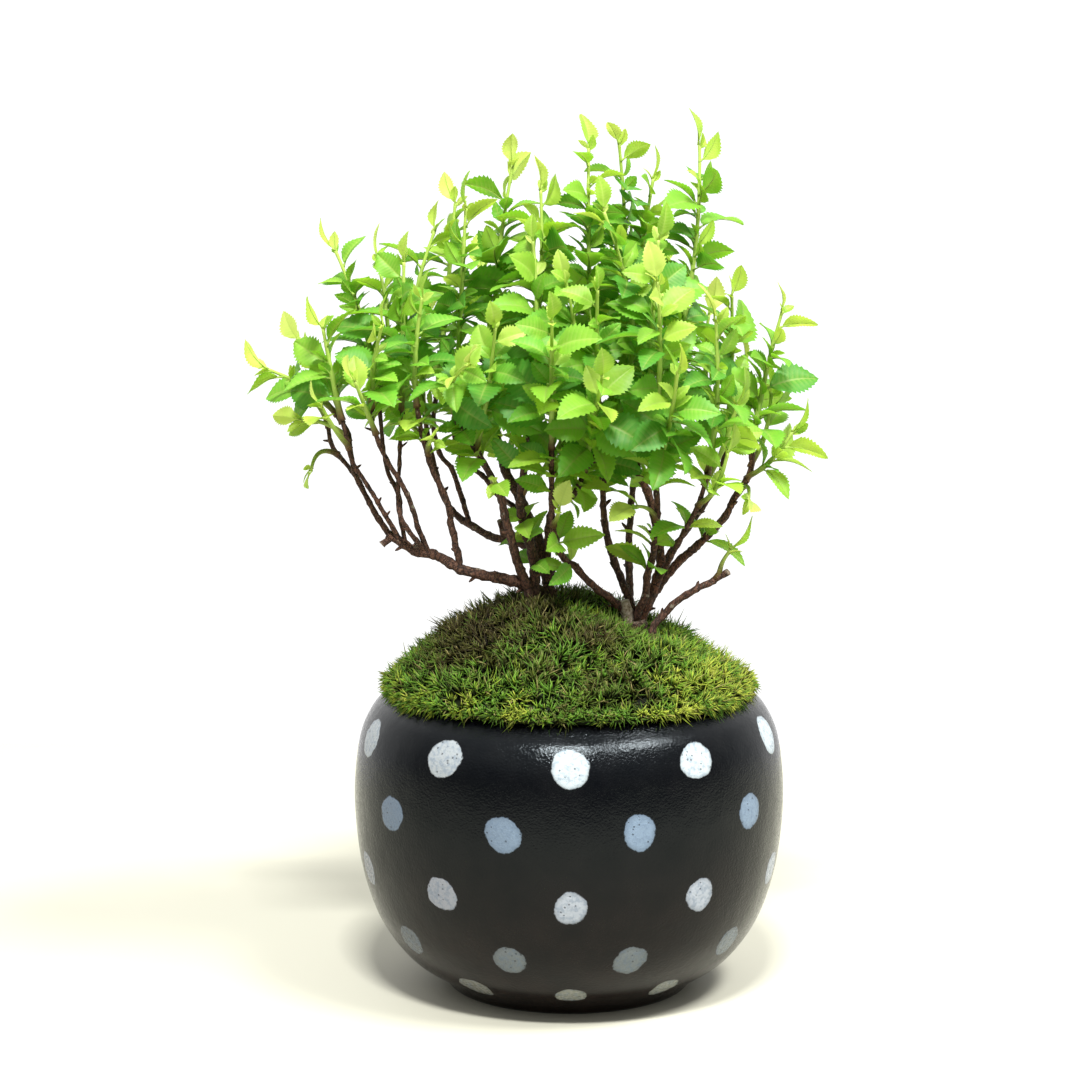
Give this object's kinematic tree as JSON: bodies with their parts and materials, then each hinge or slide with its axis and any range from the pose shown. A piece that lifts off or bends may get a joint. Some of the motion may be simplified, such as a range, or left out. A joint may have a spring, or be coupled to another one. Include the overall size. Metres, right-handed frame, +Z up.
{
  "type": "japanese spirea bonsai",
  "caption": "Miniature spirea tree with toothed green leaves on fine twigs, in a moss mound in a round dark pot with painted dots.",
  "frame": {"origin": "centre of the whole part's footprint box, on the plane that the pot stands on", "axes": "+Z up from the foot of the pot to the top of the tree, +X to the right as seen from the front, -Y towards the viewer"},
  "size_m": [0.1594, 0.12, 0.2445],
  "materials": {
    "pot": "near black satin glaze with whitish painted dots",
    "soil": "dark granular bonsai soil",
    "moss": "cushion of green moss needles",
    "bark": "rough dark brown bark",
    "leaf": "soft satin green leaves on pale green stems"
  },
  "bodies": {
    "root": {"pot": "pot", "soil": "soil", "moss": "moss", "wood_left": "bark", "wood_right": "bark", "wood_side": "bark", "shoot_01": "leaf", "shoot_02": "leaf", "shoot_03": "leaf", "shoot_04": "leaf", "shoot_05": "leaf", "shoot_06": "leaf", "shoot_07": "leaf", "shoot_08": "leaf", "shoot_09": "leaf", "shoot_10": "leaf", "shoot_11": "leaf", "shoot_12": "leaf", "shoot_13": "leaf", "shoot_14": "leaf", "shoot_15": "leaf", "shoot_16": "leaf", "shoot_17": "leaf", "shoot_18": "leaf", "shoot_19": "leaf", "shoot_20": "leaf", "shoot_21": "leaf", "shoot_22": "leaf", "shoot_23": "leaf", "shoot_24": "leaf", "shoot_25": "leaf", "shoot_26": "leaf", "shoot_27": "leaf", "shoot_28": "leaf", "shoot_29": "leaf", "shoot_30": "leaf", "shoot_31": "leaf", "shoot_32": "leaf", "shoot_33": "leaf", "shoot_34": "leaf", "shoot_35": "leaf", "shoot_36": "leaf", "shoot_37": "leaf", "shoot_38": "leaf", "shoot_39": "leaf", "shoot_40": "leaf", "shoot_41": "leaf", "shoot_42": "leaf", "shoot_43": "leaf", "shoot_44": "leaf", "shoot_45": "leaf", "shoot_46": "leaf", "shoot_47": "leaf", "shoot_48": "leaf", "shoot_49": "leaf", "shoot_50": "leaf", "shoot_51": "leaf", "shoot_52": "leaf", "shoot_53": "leaf", "shoot_54": "leaf"}
  },
  "joints": []
}
